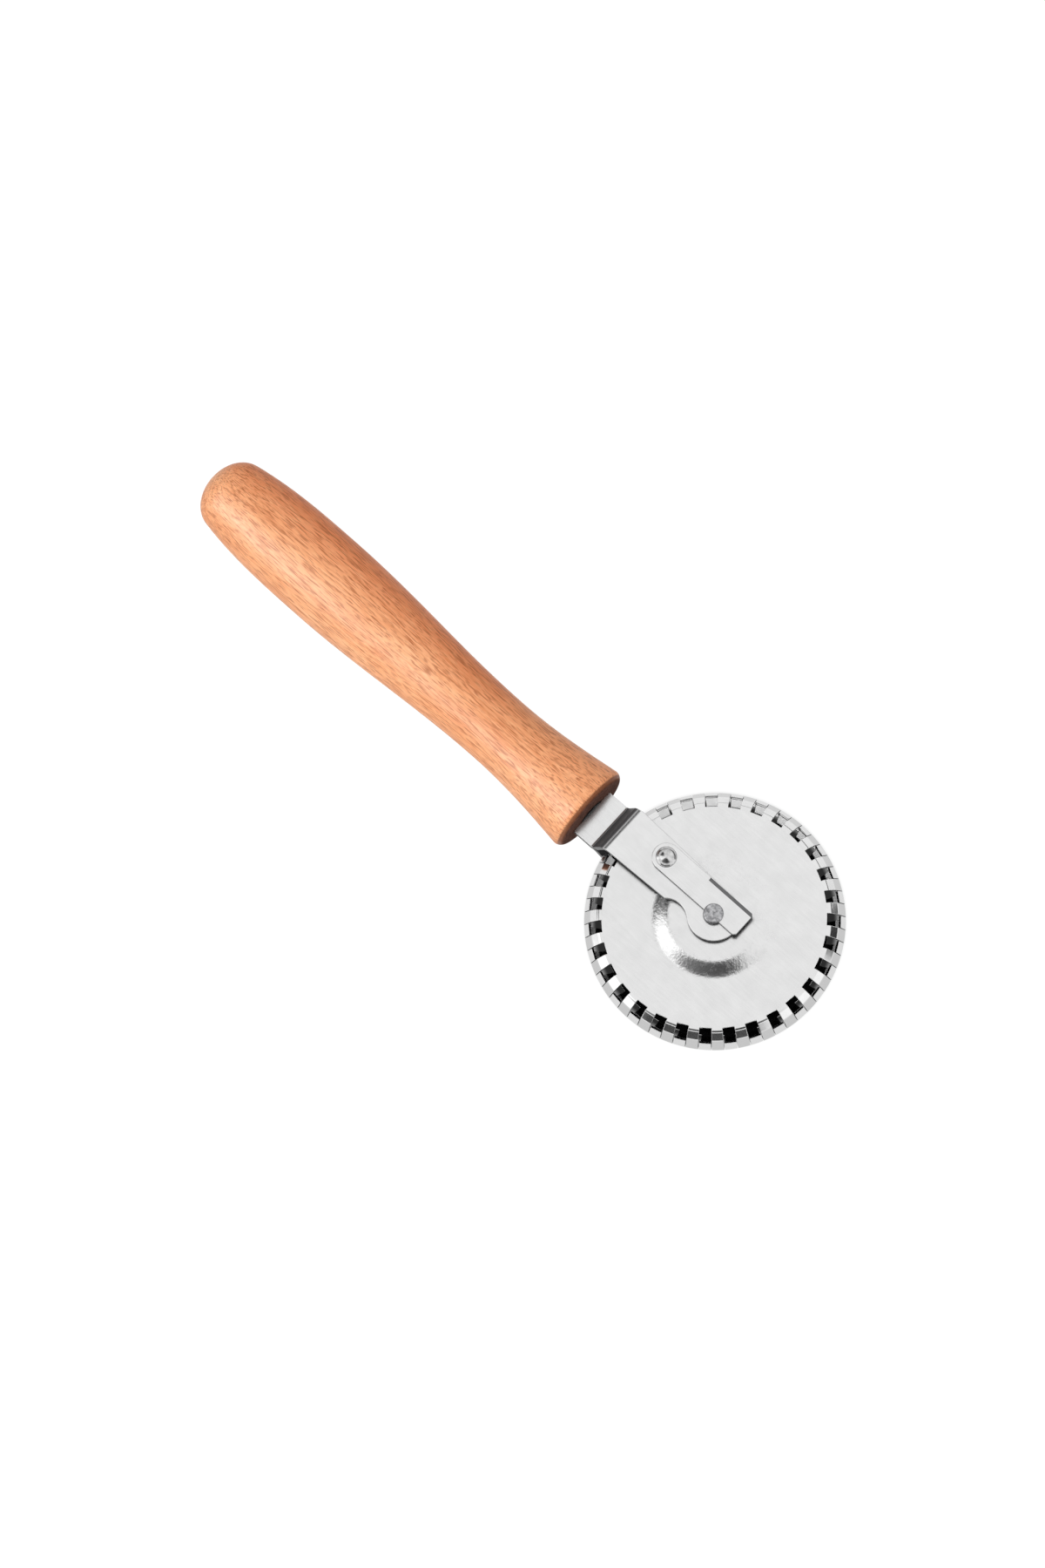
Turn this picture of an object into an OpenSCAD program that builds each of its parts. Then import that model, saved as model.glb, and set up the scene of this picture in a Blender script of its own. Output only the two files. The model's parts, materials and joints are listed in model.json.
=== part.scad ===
// Pastry cutter wheel: a turned wooden handle, a two-arm steel fork and a crimping wheel
// made of two pressed discs, whose rim tabs are folded over into each other's notches. A lever
// on the near arm locks the axle pin, so the wheel comes out for washing.
// The tool lies on its handle and on the flat head of its axle pin. X runs along the handle
// from the butt to the wheel, Z is the axle's direction, up on the lever's side. The origin is
// the middle of the footprint, at table height. All sizes are in millimetres.

/* [Handle] */
// Length of the wooden handle
handle_len = 119; // [112:1:135]
// Diameter of the belly and of the front swell, which the tool lies on
handle_d = 21.7; // [20.6:0.1:24]
// Distance from the butt to the fullest part of the belly
belly_x = 36; // [28:1:46]
// Length of the rounded butt
butt_len = 6; // [4:0.5:10]
// Diameter where the rounded butt runs into the flank
butt_d = 17.9; // [15:0.1:19]
// Diameter of the neck behind the front swell
neck_d = 16.9; // [14:0.1:19]
// Distance from the handle's front face back to the neck
neck_back = 29; // [22:1:36]
// Radius of the rounded front edge
front_round = 1.9; // [1:0.1:3]

/* [Fork] */
// Thickness of the arms' sheet
arm_t = 1.2; // [1:0.1:1.5]
// Width of the shank and of each arm at its joggle
arm_w = 12.2; // [11:0.1:14]
// Width of an arm where it runs into the eye
arm_tip_w = 10.3; // [9.6:0.1:11.5]
// Sideways shift of the arms beyond the joggle, towards the lever
arm_shift = 0.9; // [0:0.1:1.2]
// Diameter of the eye round the axle
eye_d = 12.3; // [11.4:0.1:14]
// Radius of the bite cut into one edge behind the eye
bite_r = 5.1; // [4.5:0.1:6.5]
// Depth of the bite
bite_depth = 1.2; // [0.6:0.1:1.5]
// Distance from the axle back to the middle of the bite
bite_back = 7.5; // [7:0.1:9]
// Distance from the handle's front face to the axle
axle_reach = 38.2; // [37:0.2:44]
// Straight shank between the handle and the joggle
shank_len = 5.2; // [3.6:0.2:6]
// Steepness of the joggle in degrees
joggle_angle = 70; // [55:1:75]
// Inside radius of the joggle's bends
bend_r = 1; // [0.6:0.1:1.4]
// Width of the tang inside the handle
tang_w = 5.4; // [4:0.1:7]
// Length of the tang inside the handle
tang_len = 56; // [30:1:70]

/* [Wheel] */
// Diameter over the rim tabs
wheel_d = 60; // [58:0.5:62]
// Number of rim tabs on each disc
tabs = 31; // [27:1:32]
// Width of one rim tab at the rim's ridge
tab_w = 2.85; // [2.4:0.05:2.9]
// How far a folded tab reaches past the wheel's middle plane
tab_past = 2.2; // [1.6:0.1:3.2]
// Radial depth of the notches between tabs
notch_depth = 4.2; // [3.6:0.1:4.8]
// Thickness of the disc sheet
disc_t = 0.6; // [0.5:0.1:0.8]
// Width of the wheel over its two flat webs
web_w = 10; // [8.6:0.2:11]
// Radial width of the whole bent rim, outside the flat web
rim_w = 3.4; // [3:0.1:4]
// Radial width of the rim's steep edge, from its sloped shoulder to its ridge
edge_w = 1.6; // [1.2:0.1:1.8]
// Steepness of the rim's sloped shoulder in degrees
shoulder_angle = 45; // [35:1:52]
// Outside radius of the rim's bends
rim_bend_r = 1; // [0.9:0.1:1.4]
// Height of the raised hub above the web
hub_h = 1.3; // [0.8:0.1:1.6]
// Diameter of the hub's flat top
hub_top_d = 20; // [17:0.2:22]
// Diameter of the hub's foot on the web
hub_foot_d = 29.4; // [26:0.2:32]

/* [Axle] */
// Diameter of the axle pin
pin_d = 4.6; // [4.2:0.1:5.2]
// Diameter of the pin's head under the far arm
head_d = 9; // [7.5:0.1:11]
// Chamfer of the pin's head
head_chamfer = 0.6; // [0.3:0.1:1]
// Diameter of the groove that the lever locks in
groove_d = 3.5; // [3:0.1:3.9]
// Thickness of the collar beyond the groove
collar_t = 0.7; // [0.5:0.1:1]
// Wall of the bush through the discs' holes
bush_wall = 1; // [0.8:0.1:1.4]
// Wall of the bush between the discs
spool_wall = 2.6; // [2:0.1:3.2]
// Thickness of the bush's swaged rims
swage_t = 0.35; // [0.3:0.05:0.5]
// Width of the swaged rims on the discs
swage_w = 1.2; // [0.8:0.1:1.6]

/* [Latch] */
// Thickness of the lever
lever_t = 1; // [0.8:0.1:1.2]
// Width of the lever
lever_w = 6.6; // [6:0.1:7]
// Distance from the axle back to the lever's rivet
pivot_back = 16.9; // [15.5:0.1:19]
// Sideways distance from the axle to the lever's centre line
pivot_side = 2.6; // [2.2:0.1:2.9]
// Distance from the axle to the lever's square end
lever_tip = 7; // [5:0.1:9]
// Length of the thumb bevel along the lever's outer edge
bevel_len = 13; // [8:0.5:16]
// Width of the thumb bevel
bevel_w = 0.9; // [0.5:0.1:1.2]
// Depth of the thumb bevel
bevel_h = 0.6; // [0.3:0.1:0.7]
// Diameter of the rivet that the lever swings on
rivet_d = 2.6; // [2.2:0.1:3]
// Width of the rivet's shoulder that seats on the arm
rivet_step = 0.35; // [0.2:0.05:0.5]
// Diameter of the rivet's domed head
dome_d = 4.9; // [4.4:0.1:5.6]
// Height of the rivet's dome
dome_h = 1.3; // [0.9:0.1:1.5]
// Diameter of the rivet's tail under the arm
tail_d = 4; // [3.4:0.1:5]
// Thickness of the rivet's tail
tail_t = 0.6; // [0.4:0.1:0.9]

/* [Fits] */
// Running clearance on the radius, of the bush on the pin and of the lever on its rivet
run_clear = 0.05; // [0.02:0.01:0.1]
// Clearance on the radius where a fixed piece passes through a hole
fixed_clear = 0.03; // [0.01:0.01:0.1]
// Gap between the wheel's hub and each arm
side_clear = 0.25; // [0.15:0.05:0.5]
// Gap above and below the lever
lever_gap = 0.1; // [0.08:0.01:0.2]
// Clearance between the lever's notch and the pin's groove
catch_clear = 0.2; // [0.12:0.02:0.3]

/* [Hidden] */
$fn = 96;

// Height of the handle's axis and of the wheel's middle plane above the table
mid_z = handle_d / 2;
// Where the pieces lie along the tool, with the footprint centred on the origin
total_len = handle_len + axle_reach + wheel_d / 2;
butt_x = -total_len / 2;
front_x = butt_x + handle_len;
axle_x = front_x + axle_reach;

// Heights above the wheel's middle plane
web_z = web_w / 2;
hub_z = web_z + hub_h;
bush_z = hub_z + swage_t;
arm_z = bush_z + side_clear;
arm_top = arm_z + arm_t;
lever_z = arm_top + lever_gap;
lever_top = lever_z + lever_t;
collar_z = lever_top + lever_gap;

// Radii of the bores and of what runs in them
pin_r = pin_d / 2;
bush_bore_r = pin_r + run_clear;
bush_r = bush_bore_r + bush_wall;
spool_r = bush_bore_r + spool_wall;
disc_hole_r = bush_r + fixed_clear;
tang_bore_r = norm([tang_w / 2, arm_t]) + fixed_clear;

// Joggle of an arm, measured from the axle
bend_mid_r = bend_r + arm_t / 2;
bend_steps = 8;
joggle_from = -axle_reach + shank_len;
joggle_rise = arm_z - 2 * bend_mid_r * (1 - cos(joggle_angle));
joggle_run = 2 * bend_mid_r * sin(joggle_angle) + joggle_rise / tan(joggle_angle);
joggle_to = joggle_from + joggle_run;

// Room beyond a piece for the shapes that cut it
over = 1;
// Points on each curved stretch of a turned or pressed outline
steps = 14;

// Points of an arc round a centre, from one angle to another
function arc(centre, r, from, to, n = steps) =
    [for (i = [0 : n]) centre + r * [cos(from + (to - from) * i / n), sin(from + (to - from) * i / n)]];

// A point of a cubic curve with two handles
function cubic(a, b, c, d, s) =
    pow(1 - s, 3) * a + 3 * s * pow(1 - s, 2) * b + 3 * s * s * (1 - s) * c + pow(s, 3) * d;

// Outline of the handle as [radius, distance from the butt]
function handle_outline() =
    let (
        top = handle_d / 2,
        butt_r = butt_d / 2,
        neck_r = neck_d / 2,
        neck_x = handle_len - neck_back,
        swell_x = handle_len - front_round,
        // The flank leaves the butt on this slope and levels out at the belly
        rise = top - butt_r,
        reach = belly_x - butt_len,
        slope = 3 * rise / reach,
        lead = 0.6 * butt_len
    )
    concat(
        [for (i = [0 : steps]) cubic(
            [0, 0], [butt_r / 2, 0], [butt_r - slope * lead, butt_len - lead], [butt_r, butt_len], i / steps)],
        [for (i = [1 : steps]) [top - rise * pow(1 - i / steps, 3), butt_len + reach * i / steps]],
        [for (i = [1 : 2 * steps]) [
            (top + neck_r) / 2 + (top - neck_r) / 2 * cos(90 * i / steps),
            belly_x + (neck_x - belly_x) * i / steps / 2]],
        [for (i = [1 : steps - 1]) [
            top - (top - neck_r) * cos(90 * i / steps),
            neck_x + (swell_x - neck_x) * i / steps]],
        arc([top - front_round, swell_x], front_round, 0, 90)
    );

// Places the handle's pieces from the butt, and the fork's and wheel's from the axle
module from_butt() translate([butt_x, 0, mid_z]) children();
module from_axle() translate([axle_x, 0, mid_z]) children();

// The turned handle, drilled from the front for the two tangs
module handle() {
    color("peru") from_butt() rotate([0, 90, 0]) difference() {
        rotate_extrude() polygon(concat(handle_outline(), [[0, handle_len]]));
        translate([0, 0, handle_len - tang_len - over])
            cylinder(r = tang_bore_r, h = tang_len + 2 * over);
    }
}

// Middle line of an arm's sheet as [x, z, slope], from the tang's end to the eye
function arm_line() =
    let (low = arm_t / 2, high = arm_z + arm_t / 2)
    concat(
        [[-axle_reach - tang_len, low, 0]],
        [for (i = [0 : bend_steps]) let (a = joggle_angle * i / bend_steps)
            [joggle_from + bend_mid_r * sin(a), low + bend_mid_r * (1 - cos(a)), a]],
        [for (i = [bend_steps : -1 : 0]) let (a = joggle_angle * i / bend_steps)
            [joggle_to - bend_mid_r * sin(a), high - bend_mid_r * (1 - cos(a)), a]],
        [[eye_d / 2 + over, high, 0]]
    );

// The sheet's two faces stand half a thickness either side of the middle line
function sheet_face(line, side) =
    [for (p = line) [p[0] - side * arm_t / 2 * sin(p[2]), p[1] + side * arm_t / 2 * cos(p[2])]];

// Side view of an arm, as a wide bent sheet
module arm_sheet() {
    upper = sheet_face(arm_line(), 1);
    lower = sheet_face(arm_line(), -1);
    rotate([90, 0, 0]) linear_extrude(2 * (arm_w + arm_shift), center = true)
        polygon(concat(upper, [for (i = [len(lower) - 1 : -1 : 0]) lower[i]]));
}

// One edge of an arm's strip, from the handle to the axle: shank, joggle, then taper
function strip_edge(side) = [
    [-axle_reach, side * arm_w / 2], [joggle_from, side * arm_w / 2],
    [joggle_to, side * arm_w / 2 + arm_shift], [0, side * arm_tip_w / 2 + arm_shift]];

// Plan view of an arm: tang, strip with a bite in its lower edge, and eye
module arm_plan() {
    upper = strip_edge(1);
    lower = strip_edge(-1);
    taper = (arm_w - arm_tip_w) / 2 * bite_back / -joggle_to;
    bite_y = arm_shift - arm_tip_w / 2 - taper + bite_depth - bite_r;
    translate([-axle_reach - tang_len, -tang_w / 2]) square([tang_len + over, tang_w]);
    difference() {
        polygon(concat(lower, [for (i = [len(upper) - 1 : -1 : 0]) upper[i]]));
        translate([-bite_back, bite_y]) circle(r = bite_r);
    }
    circle(d = eye_d);
}

// One fork arm with the hole for the axle pin
module fork_arm() {
    difference() {
        intersection() {
            arm_sheet();
            translate([0, 0, -over]) linear_extrude(arm_top + 2 * over) arm_plan();
        }
        cylinder(r = pin_r + fixed_clear, h = arm_top + over);
    }
}

module near_arm() {
    color("silver") from_axle() difference() {
        fork_arm();
        translate([-pivot_back, pivot_side, 0])
            cylinder(r = rivet_d / 2 - rivet_step + fixed_clear, h = arm_top + over);
    }
}

module far_arm() {
    color("silver") from_axle() mirror([0, 0, 1]) fork_arm();
}

// Headed axle pin: its head reaches down to the table, its collar holds the lever's notch
module axle_pin() {
    head_r = head_d / 2;
    collar_chamfer = collar_t / 3;
    color("dimgray") from_axle() rotate_extrude() polygon([
        [0, -mid_z], [head_r - head_chamfer, -mid_z], [head_r, -mid_z + head_chamfer],
        [head_r, -arm_top], [pin_r, -arm_top], [pin_r, arm_top],
        [groove_d / 2, arm_top], [groove_d / 2, collar_z], [pin_r, collar_z],
        [pin_r, collar_z + collar_t - collar_chamfer], [pin_r - collar_chamfer, collar_z + collar_t],
        [0, collar_z + collar_t]]);
}

// Plan of the lever, drawn from its rivet with the axle where it lies when locked
module lever_plan() {
    end_x = pivot_back + lever_tip;
    notch_r = groove_d / 2 + catch_clear;
    corner = 0.5;
    difference() {
        union() {
            circle(d = lever_w);
            polygon([
                [0, -lever_w / 2], [end_x - corner, -lever_w / 2], [end_x, -lever_w / 2 + corner],
                [end_x, lever_w / 2 - corner], [end_x - corner, lever_w / 2], [0, lever_w / 2]]);
        }
        // The notch leads out of the near edge, square to the line from rivet to axle
        translate([pivot_back, -pivot_side]) rotate(-atan(pivot_side / pivot_back)) {
            circle(r = notch_r);
            translate([-notch_r, -lever_w]) square([2 * notch_r, lever_w]);
        }
    }
}

// Section of the bevel, drawn from the lever's upper outer edge
module bevel_section() {
    polygon([[-bevel_w, 0], [0, -bevel_h], [over, -bevel_h], [over, over], [-bevel_w, over]]);
}

// Lever that swings aside to free the axle pin, bevelled where the thumb pushes it
module latch_lever() {
    color("gainsboro") from_axle() translate([-pivot_back, pivot_side, lever_z]) difference() {
        linear_extrude(lever_t) lever_plan();
        translate([0, 0, -over]) cylinder(r = rivet_d / 2 + run_clear, h = lever_t + 2 * over);
        translate([pivot_back + lever_tip - bevel_len, lever_w / 2, lever_t])
            rotate([90, 0, 90]) linear_extrude(bevel_len + over) bevel_section();
    }
}

// Shouldered rivet: its shoulder seats on the arm and leaves the lever free under the dome
module latch_rivet() {
    dome_r = dome_d / 2;
    ball_r = (dome_r * dome_r + dome_h * dome_h) / (2 * dome_h);
    ball_z = collar_z + dome_h - ball_r;
    rim_angle = atan2(collar_z - ball_z, dome_r);
    neck_r = rivet_d / 2 - rivet_step;
    color("gainsboro") from_axle() translate([-pivot_back, pivot_side, 0]) rotate_extrude() polygon(concat(
        [[0, arm_z - tail_t], [tail_d / 2, arm_z - tail_t], [tail_d / 2, arm_z], [neck_r, arm_z],
            [neck_r, arm_top], [rivet_d / 2, arm_top], [rivet_d / 2, collar_z]],
        arc([0, ball_z], ball_r, rim_angle, 90)));
}

// Spool bush: spaces the discs, runs on the pin, and its ends are swaged over the discs
module hub_bush() {
    inner_z = hub_z - disc_t;
    swage_r = bush_r + swage_w;
    color("darkgray") from_axle() rotate_extrude() polygon([
        [bush_bore_r, -bush_z], [swage_r, -bush_z], [swage_r, -hub_z], [bush_r, -hub_z],
        [bush_r, -inner_z], [spool_r, -inner_z], [spool_r, inner_z], [bush_r, inner_z],
        [bush_r, hub_z], [swage_r, hub_z], [swage_r, bush_z], [bush_bore_r, bush_z]]);
}

// Height of the hub above the web at a given radius: flat top, then an even slope to the foot
function hub_rise(r) =
    let (s = (r - hub_top_d / 2) / (hub_foot_d / 2 - hub_top_d / 2))
    hub_h * (1 + cos(180 * max(0, min(1, s)))) / 2;

// Face of a disc as [radius, height]: its outer face, or the face at a depth into the sheet.
// Both faces of a bend share one centre, and angles are those of the outward normal.
function disc_face(depth) =
    let (
        rim_r = wheel_d / 2,
        bend = [rim_r - rim_w, web_z],
        edge = [rim_r - edge_w, web_z - (rim_w - edge_w) * tan(shoulder_angle)],
        ridge_centre = [rim_r - rim_bend_r, 0],
        to_edge = edge - ridge_centre,
        slope_normal = 90 - shoulder_angle,
        // The steep edge runs into the ridge's bend, and beyond it the tab leans back as much
        edge_normal = atan2(to_edge[1], to_edge[0]) - acos(rim_bend_r / norm(to_edge)),
        bend_in = rim_bend_r * tan(shoulder_angle / 2),
        edge_in = rim_bend_r * tan((slope_normal - edge_normal) / 2),
        bend_centre = bend - [bend_in, rim_bend_r],
        edge_centre = edge - edge_in * [sin(slope_normal), -cos(slope_normal)]
            - rim_bend_r * [cos(slope_normal), sin(slope_normal)],
        tip = [ridge_centre[0] + rim_bend_r / cos(edge_normal) - tab_past * tan(edge_normal), -tab_past]
    )
    concat(
        [[disc_hole_r, hub_z - depth]],
        [for (i = [0 : steps]) let (r = hub_top_d / 2 + (hub_foot_d - hub_top_d) / 2 * i / steps)
            [r, web_z - depth + hub_rise(r)]],
        arc(bend_centre, rim_bend_r - depth, 90, slope_normal, bend_steps / 2),
        arc(edge_centre, rim_bend_r - depth, slope_normal, edge_normal, bend_steps / 2),
        arc(ridge_centre, rim_bend_r - depth, edge_normal, -edge_normal, bend_steps),
        [tip - depth * [cos(edge_normal), -sin(edge_normal)]]
    );

// Section of the pressed disc
module disc_section() {
    inner = disc_face(disc_t);
    polygon(concat(disc_face(0), [for (i = [len(inner) - 1 : -1 : 0]) inner[i]]));
}

// Plan of the disc: a round web with tabs all round, whose sides run towards the axle
module tab_plan() {
    rim_r = wheel_d / 2;
    web_r = rim_r - notch_depth;
    spread = tab_w / 2 / rim_r;
    from = web_r / 2;
    to = rim_r + over;
    circle(r = web_r);
    for (i = [0 : tabs - 1])
        rotate(360 * i / tabs)
            polygon([[from, -from * spread], [to, -to * spread], [to, to * spread], [from, from * spread]]);
}

// One pressed disc, with a tab on the X axis
module pressed_disc() {
    intersection() {
        rotate_extrude() disc_section();
        translate([0, 0, -tab_past - over]) linear_extrude(hub_z + tab_past + 2 * over) tab_plan();
    }
}

module near_disc() {
    color("gainsboro") from_axle() pressed_disc();
}

// The far disc is the same pressing turned over, half a tab on
module far_disc() {
    color("silver") from_axle() rotate(180 / tabs) mirror([0, 0, 1]) pressed_disc();
}

handle();
near_arm();
far_arm();
axle_pin();
latch_lever();
latch_rivet();
hub_bush();
near_disc();
far_disc();
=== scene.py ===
import json
import math

import bpy
from mathutils import Matrix, Vector


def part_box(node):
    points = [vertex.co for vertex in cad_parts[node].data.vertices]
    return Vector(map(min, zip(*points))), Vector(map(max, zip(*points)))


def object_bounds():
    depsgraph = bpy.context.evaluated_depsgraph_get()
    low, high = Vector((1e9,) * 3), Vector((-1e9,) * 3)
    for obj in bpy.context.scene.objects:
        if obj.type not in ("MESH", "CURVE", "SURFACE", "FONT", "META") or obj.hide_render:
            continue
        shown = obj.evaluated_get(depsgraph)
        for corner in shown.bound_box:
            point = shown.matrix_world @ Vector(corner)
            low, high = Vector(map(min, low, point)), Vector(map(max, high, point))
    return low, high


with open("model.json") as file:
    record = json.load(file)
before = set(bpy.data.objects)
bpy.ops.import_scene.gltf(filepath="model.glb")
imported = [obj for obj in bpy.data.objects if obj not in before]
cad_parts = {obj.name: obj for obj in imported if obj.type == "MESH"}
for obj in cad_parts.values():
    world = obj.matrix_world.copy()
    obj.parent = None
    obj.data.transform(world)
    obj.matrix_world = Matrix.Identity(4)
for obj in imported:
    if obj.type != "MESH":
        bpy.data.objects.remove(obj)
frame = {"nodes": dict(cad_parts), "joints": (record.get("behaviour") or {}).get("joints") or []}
cad_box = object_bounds()
nodes = frame["nodes"]

MM = 0.001

# Places that the frame gives: the axle's middle, the wheel's radius, as nothing is wider than the
# wheel, and the handle's two ends
AXLE = Vector(next(joint["pos_m"] for joint in frame["joints"] if joint["name"] == "wheel_spin"))
WHEEL_RADIUS = cad_box[1][1]
BUTT_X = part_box("handle")[0][0]
FRONT_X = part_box("handle")[1][0]


# Camera
# The photograph's view: azimuth, elevation and roll in degrees, metres for each pixel at the axle,
# and the pixel where the axle's middle lies in the photograph
AZIMUTH = 52.0
ELEVATION = 78.87
ROLL = -10.05
PIXEL = 0.00019955
AXLE_PIXEL = (820.9, 1057.6)
PHOTO_SIZE = (1200, 1800)
# The camera's distance and clipping in metres, and its sensor's height in millimetres
DISTANCE = 2.0
CLIP_START = 0.01
CLIP_END = 50.0
SENSOR = 36.0


def view_axes():
    """Right, up and back vectors of the photograph's view."""
    a = math.radians(AZIMUTH)
    e = math.radians(ELEVATION)
    r = math.radians(ROLL)
    back = Vector((math.sin(a) * math.cos(e), -math.cos(a) * math.cos(e), math.sin(e)))
    side = Vector((math.cos(a), math.sin(a), 0))
    over = back.cross(side)
    right = math.cos(r) * side + math.sin(r) * over
    up = math.cos(r) * over - math.sin(r) * side
    return right, up, back


RIGHT, UP, BACK = view_axes()
# The image's right and down, laid flat on the floor
FLOOR_RIGHT = Vector((RIGHT.x, RIGHT.y, 0)).normalized()
FLOOR_DOWN = Vector((FLOOR_RIGHT.y, -FLOOR_RIGHT.x, 0))


def add_camera():
    eye = AXLE + DISTANCE * BACK
    sideways = PHOTO_SIZE[0] / 2 - AXLE_PIXEL[0]
    upwards = AXLE_PIXEL[1] - PHOTO_SIZE[1] / 2
    aim = AXLE + PIXEL * (sideways * RIGHT + upwards * UP)
    z = (eye - aim).normalized()
    x = UP.cross(z).normalized()
    y = z.cross(x)
    data = bpy.data.cameras.new("photo_camera")
    data.sensor_fit = "VERTICAL"
    data.sensor_height = SENSOR
    data.lens = SENSOR * DISTANCE / (PHOTO_SIZE[1] * PIXEL)
    data.clip_start = CLIP_START
    data.clip_end = CLIP_END
    camera = bpy.data.objects.new("photo_camera", data)
    bpy.context.scene.collection.objects.link(camera)
    camera.matrix_world = Matrix.Translation(eye) @ Matrix((x, y, z)).transposed().to_4x4()
    bpy.context.scene.camera = camera


# Small helpers for node trees
# Places of the colour sockets on a Mix node
MIX_A = 6
MIX_B = 7
MIX_RESULT = 2
WHITE = (1, 1, 1, 1)
BLACK = (0, 0, 0, 1)


def grey(value):
    return (value, value, value, 1)


class Tree:
    """Adds and links the nodes of one material or world."""

    def __init__(self, owner):
        owner.use_nodes = True
        self.tree = owner.node_tree
        self.tree.nodes.clear()

    def node(self, kind, inputs=None, **settings):
        n = self.tree.nodes.new(kind)
        for key, value in settings.items():
            setattr(n, key, value)
        for key, value in (inputs or {}).items():
            self.put(n.inputs[key], value)
        return n

    def put(self, socket, value):
        if isinstance(value, bpy.types.NodeSocket):
            self.tree.links.new(value, socket)
        else:
            socket.default_value = value

    def output(self, shader, kind="ShaderNodeOutputMaterial"):
        self.node(kind, {"Surface": shader.outputs[0]})

    def math(self, operation, *values):
        n = self.node("ShaderNodeMath", dict(enumerate(values)), operation=operation)
        return n.outputs[0]

    def vector(self, operation, *values):
        n = self.node("ShaderNodeVectorMath", dict(enumerate(values)), operation=operation)
        return n.outputs["Value" if operation in ("DOT_PRODUCT", "LENGTH") else "Vector"]

    def axis(self, vector, name):
        return self.node("ShaderNodeSeparateXYZ", {"Vector": vector}).outputs[name]

    def ramp(self, factor, stops):
        n = self.node("ShaderNodeValToRGB", {"Fac": factor})
        elements = n.color_ramp.elements
        while len(elements) < len(stops):
            elements.new(0.5)
        for element, (place, colour) in zip(elements, stops):
            element.position = place
            element.color = colour if isinstance(colour, tuple) else grey(colour)
        return n.outputs["Color"]

    def span(self, value, low, high, start=0.0, end=1.0, smooth=True):
        """Goes from start to end as the value goes from low to high, and stays level outside."""
        n = self.node("ShaderNodeMapRange", {
            "Value": value, "From Min": low, "From Max": high, "To Min": start, "To Max": end},
            interpolation_type="SMOOTHSTEP" if smooth else "LINEAR")
        return n.outputs["Result"]

    def mix(self, factor, a, b):
        n = self.node("ShaderNodeMix", {"Factor": factor, MIX_A: a, MIX_B: b}, data_type="RGBA")
        return n.outputs[MIX_RESULT]

    def noise(self, vector, scale=1.0, detail=2.0, roughness=0.5):
        n = self.node("ShaderNodeTexNoise", {
            "Vector": vector, "Scale": scale, "Detail": detail, "Roughness": roughness})
        return n.outputs["Fac"]

    def scaled(self, vector, scale, shift=(0, 0, 0)):
        n = self.node("ShaderNodeMapping", {"Vector": vector, "Location": shift, "Scale": scale})
        return n.outputs["Vector"]


# Studio
# Directions round the object are image angles, in degrees clockwise from the image's right, and
# height angles above the floor. Each panel stop is an image angle and a brightness: the low panels
# show in the rim's shoulders, and the high ones in the hub's slope
LOW_PANELS = (
    (0, 0.03), (6, 0.05), (13, 1.25), (58, 1.25), (70, 0.08), (132, 0.08), (144, 1.6),
    (186, 1.6), (194, 0.12), (232, 0.12), (246, 0.45), (290, 0.45), (302, 0.03), (360, 0.03))
HIGH_PANELS = (
    (0, 1.08), (46, 1.08), (62, 0.06), (85, 0.06), (112, 0.12), (140, 0.22), (154, 1.6),
    (190, 1.6), (203, 0.05), (236, 0.05), (246, 1.08), (360, 1.08))
# A pale wall lies between them. These are its brightness and the heights where it starts and ends
WALL = 1.06
WALL_FOOT = (12.5, 15.5)
WALL_TOP = (28.0, 33.0)
# A softbox lies where flat steel mirrors the photograph's view. Its edge is in degrees off that
SOFTBOX = 1.08
SOFTBOX_EDGE = (12.0, 28.0)
# Below the horizon all is white
HORIZON = (-3.0, 0.0)
# Brightness of the world for dull surfaces
FILL = 0.58
# The lamps' distance from the origin and their diameter, in metres
LAMP_DISTANCE = 1.2
LAMP_SIZE = 0.9


def image_angle(t, direction):
    """Image angle of a direction, as a share of a full turn, and its height angle in degrees."""
    x = t.vector("DOT_PRODUCT", direction, FLOOR_RIGHT)
    y = t.vector("DOT_PRODUCT", direction, FLOOR_DOWN)
    angle = t.math("ARCTAN2", y, x)
    turn = t.math("FRACT", t.math("ADD", t.math("DIVIDE", angle, 2 * math.pi), 1.0))
    height = t.math("DEGREES", t.math("ARCSINE", t.axis(direction, "Z")))
    return turn, height


def panels(t, turn, stops):
    return t.ramp(turn, [(angle / 360, brightness) for angle, brightness in stops])


def add_world():
    """Panels, a wall and a softbox, which are there for the steel to mirror."""
    world = bpy.data.worlds.new("studio")
    bpy.context.scene.world = world
    t = Tree(world)
    direction = t.node("ShaderNodeTexCoord").outputs["Generated"]
    turn, height = image_angle(t, direction)
    room = t.mix(t.span(height, *WALL_FOOT), panels(t, turn, LOW_PANELS), grey(WALL))
    room = t.mix(t.span(height, *WALL_TOP), room, panels(t, turn, HIGH_PANELS))
    mirror = Vector((-BACK.x, -BACK.y, BACK.z))
    off = t.math("DEGREES", t.math("ARCCOSINE", t.vector("DOT_PRODUCT", direction, mirror)))
    room = t.mix(t.span(off, *SOFTBOX_EDGE), grey(SOFTBOX), room)
    room = t.mix(t.span(height, *HORIZON), WHITE, room)
    # Dull surfaces get their light from the lamps and a weak fill, and the camera sees white
    path = t.node("ShaderNodeLightPath").outputs
    room = t.mix(path["Is Diffuse Ray"], room, grey(FILL))
    shown = t.mix(path["Is Camera Ray"], room, WHITE)
    background = t.node("ShaderNodeBackground", {"Color": shown, "Strength": 1.0})
    t.output(background, "ShaderNodeOutputWorld")


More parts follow.
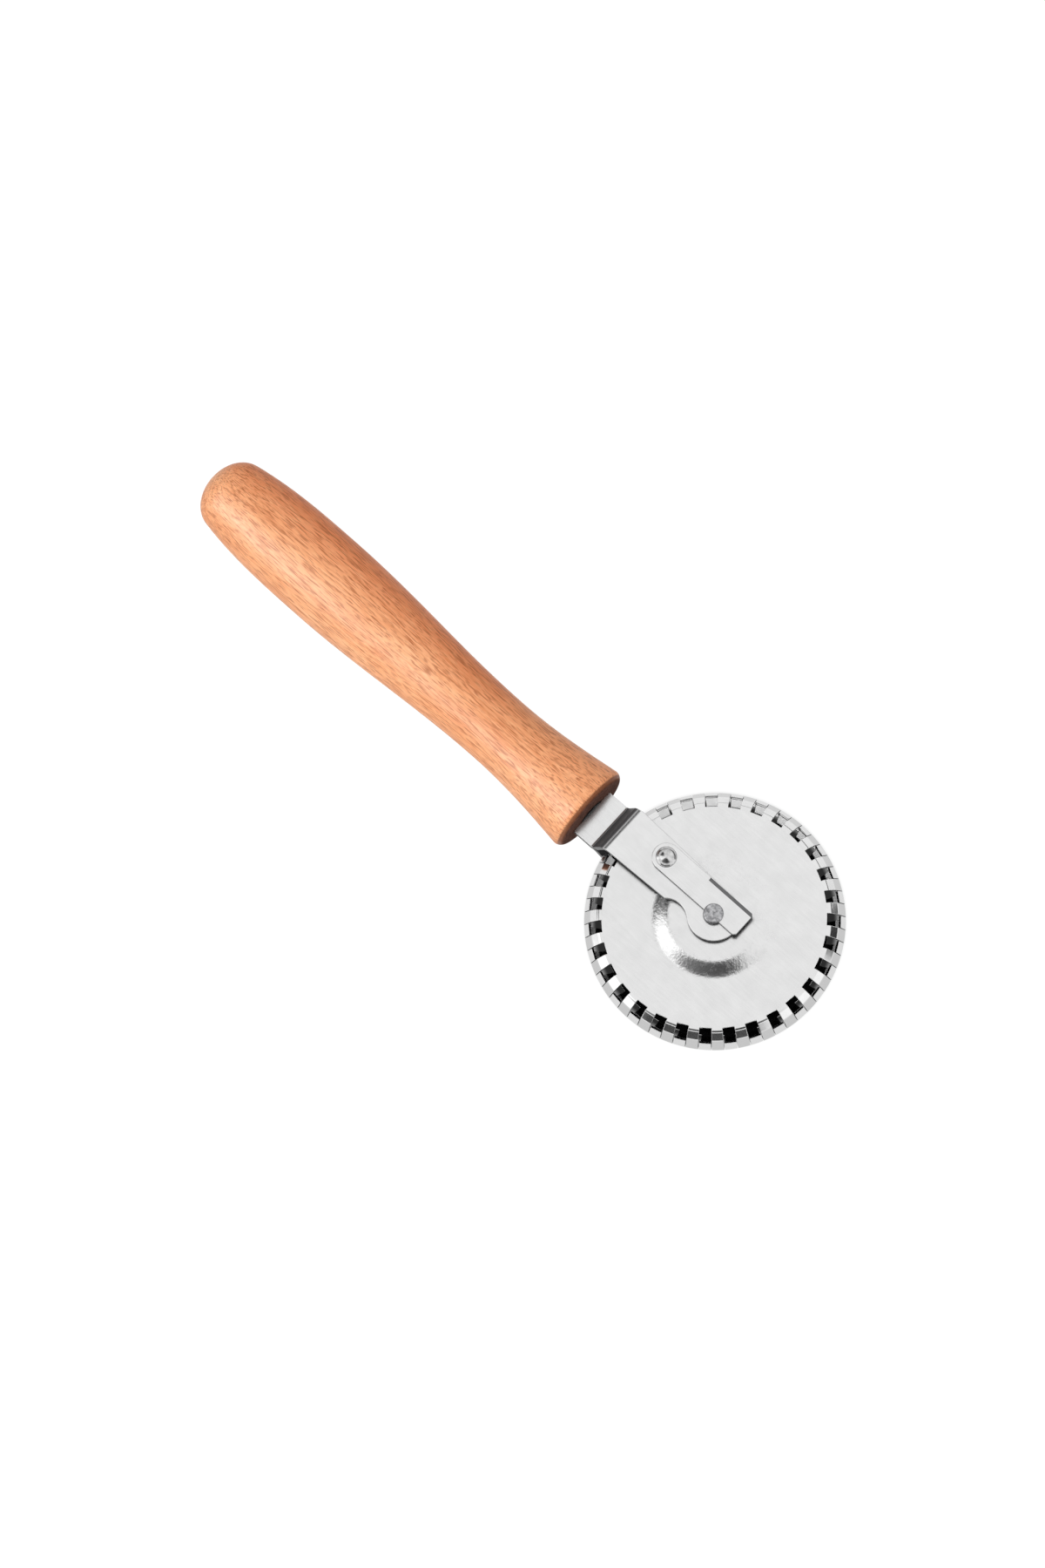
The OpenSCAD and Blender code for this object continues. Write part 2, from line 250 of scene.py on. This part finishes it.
def add_light(name, angle, height, power):
    """A soft round lamp at an image angle and a height angle, aimed at the origin."""
    a = math.radians(angle)
    h = math.radians(height)
    level = math.cos(a) * FLOOR_RIGHT + math.sin(a) * FLOOR_DOWN
    direction = math.cos(h) * level + math.sin(h) * Vector((0, 0, 1))
    data = bpy.data.lights.new(name, "AREA")
    data.shape = "DISK"
    data.size = LAMP_SIZE
    data.energy = power
    light = bpy.data.objects.new(name, data)
    bpy.context.scene.collection.objects.link(light)
    light.location = LAMP_DISTANCE * direction
    light.rotation_euler = direction.to_track_quat("Z", "Y").to_euler()
    light.visible_glossy = False
    light.visible_camera = False
    return light


def light_only(light, *names):
    """Lets a lamp light the named nodes and nothing else."""
    lit = bpy.data.collections.new(light.name + "_lit")
    for name in names:
        lit.objects.link(nodes[name])
    light.light_linking.receiver_collection = lit


def add_lights():
    """The main lamp, one for the wood's sheen, and a low one for the dull inside of the rim."""
    add_light("key", 140, 52, 11.4)
    sheen = add_light("sheen", 163, 36, 49)
    sheen.visible_glossy = True
    sheen.visible_diffuse = False
    light_only(sheen, "handle")
    inside = add_light("inside", 95, 8, 17)
    inside.data.use_shadow = False
    light_only(inside, "near_disc", "far_disc")


# Floor
FLOOR_HALF = 3.0
FLOOR_DROP = 0.05 * MM
# How much of its glow the floor throws up on dull surfaces
FLOOR_THROWN = 0.3
# Shades on the floor lie a little away from the lamp. Each goes from its tone to none between two
# distances: from the axle, and from a line along the handle that ends short of the handle's ends
SHADE_SHIFT = (-1.8 * MM, 1.4 * MM, 0)
WHEEL_SHADE = (WHEEL_RADIUS - 2.7 * MM, WHEEL_RADIUS + 1.0 * MM)
WHEEL_SHADE_TONE = 0.025
GRIP_SHADE = (4.0 * MM, 8.2 * MM)
GRIP_SHADE_TONE = 0.4
GRIP_MIDDLE = (BUTT_X + FRONT_X) / 2
GRIP_HALF = (FRONT_X - BUTT_X) / 2 - 9.0 * MM


def add_floor():
    """A floor that glows like a light table, apart from the shades under the object."""
    half = FLOOR_HALF
    corners = [(-half, -half, 0), (half, -half, 0), (half, half, 0), (-half, half, 0)]
    mesh = bpy.data.meshes.new("floor")
    mesh.from_pydata(corners, [], [(0, 1, 2, 3)])
    floor = bpy.data.objects.new("floor", mesh)
    bpy.context.scene.collection.objects.link(floor)
    floor.location.z = -FLOOR_DROP
    material = bpy.data.materials.new("floor")
    t = Tree(material)
    place = t.node("ShaderNodeTexCoord").outputs["Object"]
    colour = t.ramp(t.noise(place, 60.0, 3.0), [(0.3, 0.055), (0.7, 0.065)])
    place = t.vector("SUBTRACT", place, SHADE_SHIFT)
    from_axle = t.vector("LENGTH", t.vector("SUBTRACT", place, (AXLE.x, 0, 0)))
    from_middle = t.math("ABSOLUTE", t.math("SUBTRACT", t.axis(place, "X"), GRIP_MIDDLE))
    past_end = t.math("MAXIMUM", t.math("SUBTRACT", from_middle, GRIP_HALF), 0.0)
    squares = t.math("ADD", t.math("POWER", past_end, 2.0), t.math("POWER", t.axis(place, "Y"), 2.0))
    from_grip = t.math("SQRT", squares)
    lit = t.math(
        "MULTIPLY",
        t.span(from_axle, *WHEEL_SHADE, start=WHEEL_SHADE_TONE),
        t.span(from_grip, *GRIP_SHADE, start=GRIP_SHADE_TONE))
    diffuse = t.node("ShaderNodeBsdfDiffuse", {"Color": t.mix(lit, BLACK, colour)})
    dull = t.node("ShaderNodeLightPath").outputs["Is Diffuse Ray"]
    glow = t.math("MULTIPLY", lit, t.span(dull, 0.0, 1.0, 1.0, FLOOR_THROWN))
    emission = t.node("ShaderNodeEmission", {"Color": WHITE, "Strength": glow})
    t.output(t.node("ShaderNodeAddShader", {0: diffuse.outputs[0], 1: emission.outputs[0]}))
    mesh.materials.append(material)


# Wood
# Width of the growth rings, how far they sway, and where their pith lies off the handle's axis
RING_WIDTH = 1.6 * MM
RING_SWAY = 5.0 * MM
PITH = (0, 21 * MM, -34 * MM)
# Share of the handle's length that counts in the distance from the pith, so that rings run along
RING_SLANT = 0.02
# Painted shade: the side away from the key lamp is painted redder and darker over this stretch across
# the handle. Along the handle this painted red gets lighter towards the front, which is painted light
SHADED_SIDE = (-1 * MM, 9 * MM)
SHADED_SIDE_SHARE = 0.75
SHADE_FRONT_LIGHTENING = (-14 * MM, 6 * MM)
# Distances from the axis and places along it over which the bore is painted near black: painted shade
# in the recess
BORE_WALL = (4.2 * MM, 3.2 * MM)
BORE_END = (-40 * MM, -36 * MM)
WOOD_RELIEF = 0.12 * MM


def beech():
    """Lacquered beech: rings, fibres, pores, veins and ray flecks, with end grain on its front, and
    painted shade on its far side, front face, front edge and bore.
    """
    material = bpy.data.materials.new("beech")
    t = Tree(material)
    coord = t.node("ShaderNodeTexCoord").outputs
    place = t.vector("SUBTRACT", coord["Object"], (0, 0, AXLE.z))
    along = t.axis(place, "X")

    def grain(lengthwise, crosswise, detail, roughness, shift=(0, 0, 0)):
        """Noise drawn out along the handle, by its counts for each metre along and across."""
        stretched = t.scaled(place, (lengthwise, crosswise, crosswise), shift)
        return t.noise(stretched, 1.0, detail, roughness)

    # Growth rings run lengthwise round a pith that lies outside the handle
    sway = t.math("MULTIPLY", grain(14, 60, 2.0, 0.5), RING_SWAY)
    to_pith = t.scaled(place, (RING_SLANT, 1, 1), tuple(-p for p in PITH))
    from_pith = t.math("ADD", t.vector("LENGTH", to_pith), sway)
    in_ring = t.math("FRACT", t.math("DIVIDE", from_pith, RING_WIDTH))
    ring = t.ramp(in_ring, [(0.0, 0.0), (0.6, 0.2), (0.93, 1.0), (1.0, 0.0)])
    # Cloudy tone, fine fibres, short dark pores in two sizes, longer veins and pale ray flecks
    cloud = grain(30, 160, 3.0, 0.55)
    fibre = grain(150, 2300, 4.0, 0.65)
    pore = t.span(grain(280, 3900, 1.0, 0.4), 0.52, 0.66)
    line = t.span(grain(230, 2100, 2.0, 0.5, (0.3, 0.1, 0.2)), 0.58, 0.67)
    vein = t.span(grain(80, 1500, 2.0, 0.5, (0.2, 0.3, 0.1)), 0.58, 0.68)
    ray = t.span(grain(420, 1300, 1.0, 0.4, (0.1, 0.4, 0.2)), 0.6, 0.7)
    tone = t.math("ADD", t.math("MULTIPLY", cloud, 0.45), t.math("MULTIPLY", fibre, 0.55))
    wood = t.ramp(tone, [
        (0.33, (0.66, 0.245, 0.10, 1)), (0.5, (0.83, 0.385, 0.19, 1)), (0.67, (0.92, 0.50, 0.28, 1))])
    # Painted shade: the side away from the key lamp is painted redder and darker, and lighter towards
    # the front as painted light
    shaded_side = t.span(t.axis(place, "Y"), *SHADED_SIDE, end=SHADED_SIDE_SHARE)
    shaded_red = t.mix(t.span(along, *SHADE_FRONT_LIGHTENING), (0.88, 0.255, 0.092, 1), (1.0, 0.41, 0.19, 1))
    wood = t.mix(shaded_side, wood, shaded_red)
    for mark, strength, colour in (
            (ring, 0.12, (0.42, 0.12, 0.04, 1)),
            (ray, 0.25, (0.86, 0.45, 0.22, 1)),
            (vein, 0.3, (0.5, 0.15, 0.05, 1)),
            (line, 0.45, (0.34, 0.09, 0.03, 1)),
            (pore, 0.62, (0.33, 0.085, 0.028, 1))):
        wood = t.mix(t.math("MULTIPLY", mark, strength), wood, colour)
    # The front face shows end grain inside a burnished edge. The end grain is also painted dark as
    # shade. The rounded edge is painted dark red-brown, partly as burnishing and partly as painted
    # shade. The bore is painted near black as shade
    facing = t.axis(coord["Normal"], "X")
    front = t.span(facing, 0.75, 0.95)
    end_grain_and_shade = t.ramp(grain(300, 2200, 2.0, 0.5), [
        (0.35, (0.10, 0.042, 0.027, 1)), (0.65, (0.20, 0.092, 0.065, 1))])
    wood = t.mix(front, wood, end_grain_and_shade)
    edge = t.math("MULTIPLY", t.span(facing, 0.4, 0.6), t.span(facing, 0.95, 0.85))
    wood = t.mix(t.math("MULTIPLY", edge, 0.8), wood, (0.13, 0.035, 0.014, 1))
    from_axis = t.vector("LENGTH", t.vector("MULTIPLY", place, (0, 1, 1)))
    bore = t.math("MULTIPLY", t.span(from_axis, *BORE_WALL), t.span(along, *BORE_END))
    wood = t.mix(bore, wood, (0.012, 0.008, 0.006, 1))
    rough = t.mix(front, t.span(tone, 0.3, 0.7, 0.46, 0.36, smooth=False), grey(0.9))
    height = t.math("SUBTRACT", t.math("MULTIPLY", fibre, 0.5), t.math("MULTIPLY", pore, 0.7))
    bump = t.node("ShaderNodeBump", {"Height": height, "Strength": 0.2, "Distance": WOOD_RELIEF})
    t.output(t.node("ShaderNodeBsdfPrincipled", {
        "Base Color": wood, "Roughness": rough, "Normal": bump.outputs["Normal"],
        "IOR": 1.45, "Specular IOR Level": 0.15}))
    return material


# Steel
# Tone and roughness of bright sheet, and the counts of its rolled grain for each metre
SHEET_TONE = 0.72
SHEET_ROUGH = 0.2
ARM_GRAIN = (120, 2400, 2400)
DISC_GRAIN = (160, 2000, 2000)
# Edges, bends and sides are painted dark as shade and dark reflection, and made dull. Those that
# stand upright are painted darker still
EDGE_SHADE = (0.07, 0.07, 0.073, 1)
UPRIGHT_EDGE_SHADE = (0.035, 0.035, 0.036, 1)
EDGE_ROUGH = 0.2
# Radii that edges are rounded to, in the shading only
ARM_ROUNDING = 0.3 * MM
DISC_ROUNDING = 0.18 * MM
TURNED_ROUNDING = 0.15 * MM
BEVEL_SAMPLES = 6
STEEL_RELIEF = 0.04 * MM
# Distances from the axle over which a disc's look changes: its outermost band, painted darker as a
# reflection, the end of its inside that is painted near black as shade, its burnished rim, and the
# hub's slope from both sides
OUTER_BAND = (WHEEL_RADIUS - 1.7 * MM, WHEEL_RADIUS - 1.4 * MM)
INSIDE_END = (WHEEL_RADIUS - 2.3 * MM, WHEEL_RADIUS - 2.6 * MM)
BURNISHED = (WHEEL_RADIUS - 4.2 * MM, WHEEL_RADIUS - 3.6 * MM)
HUB_TOP = (9.0 * MM, 10.0 * MM)
HUB_FOOT = (15.5 * MM, 14.5 * MM)
# How far past the wheel's middle a tab's dull inner face ends in its tip
TAB_TIP = (-1.85 * MM, -1.65 * MM)
# Height of the hub's dents against that of the rolled grain, and the roughness that rubbing adds
HUB_DENTS = 90.0
HUB_RUBBED = 0.065


def rolled_sheet(t, place, grain):
    """Colour, roughness and relief of bright sheet with a fine rolled grain."""
    rolled = t.noise(t.scaled(place, grain), 1.0, 3.0, 0.6)
    cloud = t.noise(place, 240.0, 3.0, 0.55)
    shade = t.math("ADD", t.math("MULTIPLY", rolled, 0.4), t.math("MULTIPLY", cloud, 0.6))
    colour = t.ramp(shade, [(0.35, SHEET_TONE * 0.96), (0.65, SHEET_TONE * 1.03)])
    roughness = t.span(shade, 0.3, 0.7, SHEET_ROUGH * 1.15, SHEET_ROUGH * 0.9, smooth=False)
    return colour, roughness, rolled


def end_steel(t, colour, metallic, roughness, relief, strength, rounding):
    """Ends a steel material with its shader, a fine relief and rounded edges."""
    bevel = t.node("ShaderNodeBevel", {"Radius": rounding}, samples=BEVEL_SAMPLES)
    bump = t.node("ShaderNodeBump", {
        "Height": relief, "Strength": strength, "Distance": STEEL_RELIEF,
        "Normal": bevel.outputs["Normal"]})
    t.output(t.node("ShaderNodeBsdfPrincipled", {
        "Base Color": colour, "Metallic": metallic, "Roughness": roughness,
        "Normal": bump.outputs["Normal"]}))


def arm_steel():
    """The arms and the lever: bright faces, with edges painted dark as shade and made dull, and faces
    towards the wheel painted near black as shade.
    """
    material = bpy.data.materials.new("arm_steel")
    t = Tree(material)
    coord = t.node("ShaderNodeTexCoord").outputs
    colour, roughness, rolled = rolled_sheet(t, coord["Object"], ARM_GRAIN)
    rise = t.axis(coord["Normal"], "Z")
    level = t.math("ABSOLUTE", rise)
    edge = t.span(level, 0.94, 0.8)
    upright = t.span(level, 0.25, 0.1)
    above = t.math("SIGN", t.math("SUBTRACT", t.axis(coord["Object"], "Z"), AXLE.z))
    inner = t.span(t.math("MULTIPLY", rise, above), -0.6, -0.9)
    # Faces towards the wheel are painted near black: painted shade in the gap between the arm and the
    # wheel
    colour = t.mix(inner, colour, grey(0.05))
    # Edges and bends are painted dark: painted shade and dark reflection
    colour = t.mix(edge, colour, t.mix(upright, EDGE_SHADE, UPRIGHT_EDGE_SHADE))
    metallic = t.span(edge, 0.0, 1.0, 1.0, 0.2)
    roughness = t.math("ADD", roughness, t.math("MULTIPLY", edge, EDGE_ROUGH))
    end_steel(t, colour, metallic, roughness, rolled, 0.04, ARM_ROUNDING)
    return material


def disc_steel(name, side, rim):
    """A pressed disc on one side of the wheel, +1.0 or -1.0 along the axle.

    rim is the tone painted on its outermost band, darker than the sheet, as a painted reflection. Its
    inside is painted near black as shade, and dull inside the tabs."""
    material = bpy.data.materials.new(name)
    t = Tree(material)
    coord = t.node("ShaderNodeTexCoord").outputs
    place = coord["Object"]
    normal = coord["Normal"]
    colour, roughness, rolled = rolled_sheet(t, place, DISC_GRAIN)
    from_axle = t.vector("SUBTRACT", place, AXLE)
    flat = t.vector("MULTIPLY", from_axle, (1, 1, 0))
    radius = t.vector("LENGTH", flat)
    spoke = t.vector("NORMALIZE", flat)
    # Outer and inner faces, told apart by the direction that the disc's shoulder looks in
    outward = t.vector("NORMALIZE", t.vector("ADD", spoke, (0, 0, side)))
    facing = t.vector("DOT_PRODUCT", normal, outward)
    not_tip = t.span(t.math("MULTIPLY", t.axis(from_axle, "Z"), side), *TAB_TIP)
    inner = t.math("MULTIPLY", t.span(facing, -0.05, -0.2), not_tip)
    inside_shade = t.math("MULTIPLY", inner, t.span(radius, *INSIDE_END))
    dull = t.math("SUBTRACT", inner, inside_shade)
    reflection_band = t.math("MULTIPLY", t.span(facing, 0.05, 0.2), t.span(radius, *OUTER_BAND))
    # The outermost band is painted a darker tone: a painted reflection
    colour = t.mix(reflection_band, colour, grey(rim))
    colour = t.mix(dull, colour, grey(0.7))
    # The inside is painted near black: painted shade in the hollow between the discs
    colour = t.mix(inside_shade, colour, (0.015, 0.015, 0.016, 1))
    metallic = t.math("SUBTRACT", 1.0, dull)
    roughness = t.math("MULTIPLY", roughness, t.span(radius, *BURNISHED, 1.0, 0.45))
    roughness = t.math("ADD", roughness, t.math("MULTIPLY", inner, 0.3))
    # Pressing leaves the hub's slope finely dented and rubbed
    slope = t.math("MULTIPLY", t.span(radius, *HUB_TOP), t.span(radius, *HUB_FOOT))
    dent = t.noise(place, 1300.0, 2.0, 0.6)
    dented = t.math("MULTIPLY", slope, t.math("MULTIPLY", dent, HUB_DENTS))
    rubbed = t.math("MULTIPLY", slope, t.span(dent, 0.5, 0.6))
    relief = t.math("ADD", rolled, dented)
    roughness = t.math("ADD", roughness, t.math("MULTIPLY", rubbed, HUB_RUBBED))
    # The tabs' cut sides look along the rim, and are painted dark as shade
    cut = t.vector("MULTIPLY", t.vector("CROSS_PRODUCT", normal, spoke), (0, 0, 1))
    edge = t.span(t.vector("LENGTH", cut), 0.7, 0.9)
    colour = t.mix(edge, colour, EDGE_SHADE)
    roughness = t.math("ADD", roughness, t.math("MULTIPLY", edge, EDGE_ROUGH))
    end_steel(t, colour, metallic, roughness, relief, 0.04, DISC_ROUNDING)
    return material


def turned_steel(name, tone, rough, contrast):
    """Turned steel with a mottled face."""
    material = bpy.data.materials.new(name)
    t = Tree(material)
    place = t.node("ShaderNodeTexCoord").outputs["Object"]
    mottle = t.noise(place, 1200.0, 3.0, 0.6)
    dim = tuple(c * (1 - contrast) for c in tone) + (1,)
    light = tuple(c * (1 + 0.6 * contrast) for c in tone) + (1,)
    colour = t.ramp(mottle, [(0.35, dim), (0.65, light)])
    roughness = t.span(mottle, 0.3, 0.7, rough * 1.25, rough * 0.8, smooth=False)
    end_steel(t, colour, 1.0, roughness, mottle, 0.1, TURNED_ROUNDING)
    return material


def dress():
    """Gives each node its material."""
    sheet = arm_steel()
    pin = turned_steel("pin_steel", (0.42, 0.42, 0.43), 0.32, 0.5)
    looks = {
        "handle": beech(),
        "near_arm": sheet,
        "far_arm": sheet,
        "latch_lever": sheet,
        "axle_pin": pin,
        "hub_bush": pin,
        "latch_rivet": turned_steel("rivet_steel", (0.58, 0.58, 0.58), 0.18, 0.2),
        # Each disc's outermost band gets its own painted reflection tone
        "near_disc": disc_steel("near_disc_steel", 1.0, 0.52),
        "far_disc": disc_steel("far_disc_steel", -1.0, 0.64)}
    for name, material in looks.items():
        mesh = nodes[name].data
        mesh.materials.clear()
        mesh.materials.append(material)


bpy.context.scene.view_settings.view_transform = "Standard"
add_camera()
add_world()
add_lights()
add_floor()
dress()
